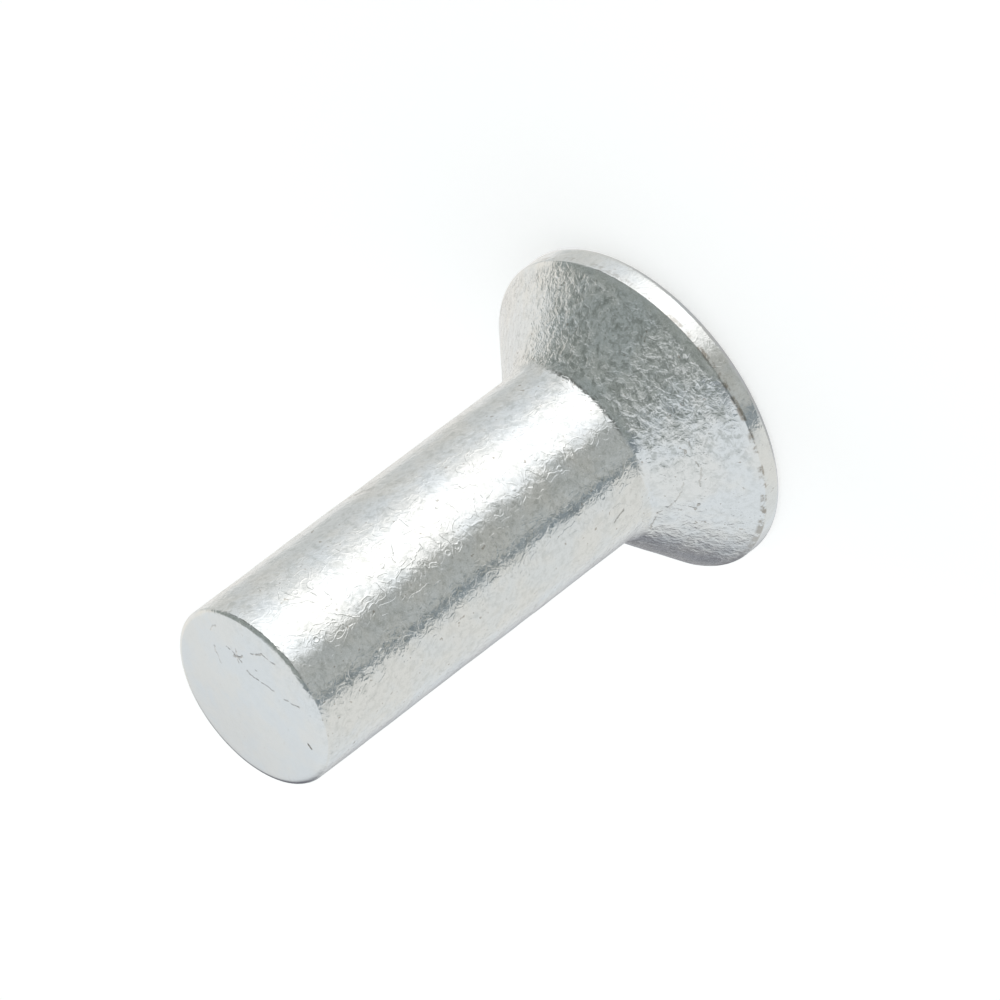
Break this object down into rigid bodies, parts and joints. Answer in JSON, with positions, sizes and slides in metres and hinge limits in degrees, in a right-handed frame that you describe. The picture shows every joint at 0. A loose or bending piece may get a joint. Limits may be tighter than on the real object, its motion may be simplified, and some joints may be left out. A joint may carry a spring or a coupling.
{
  "type": "solid rivet",
  "caption": "Solid countersunk-head rivet: a plain round shank that runs into a 90 degree conical seat, a thin plain land and a flat head face.",
  "frame": {"origin": "centre of the head's flat face, which is the bottom of the standing rivet", "axes": "+Z along the shank's axis, from the head towards the free end; the shape is the same all round, so X and Y are free"},
  "size_m": [0.009, 0.009, 0.014],
  "materials": {
    "zinc_plate": "bright blue-white zinc plate over tumbled steel, satin, with fine mottling"
  },
  "bodies": {
    "root": {"rivet": "zinc_plate"}
  },
  "joints": []
}
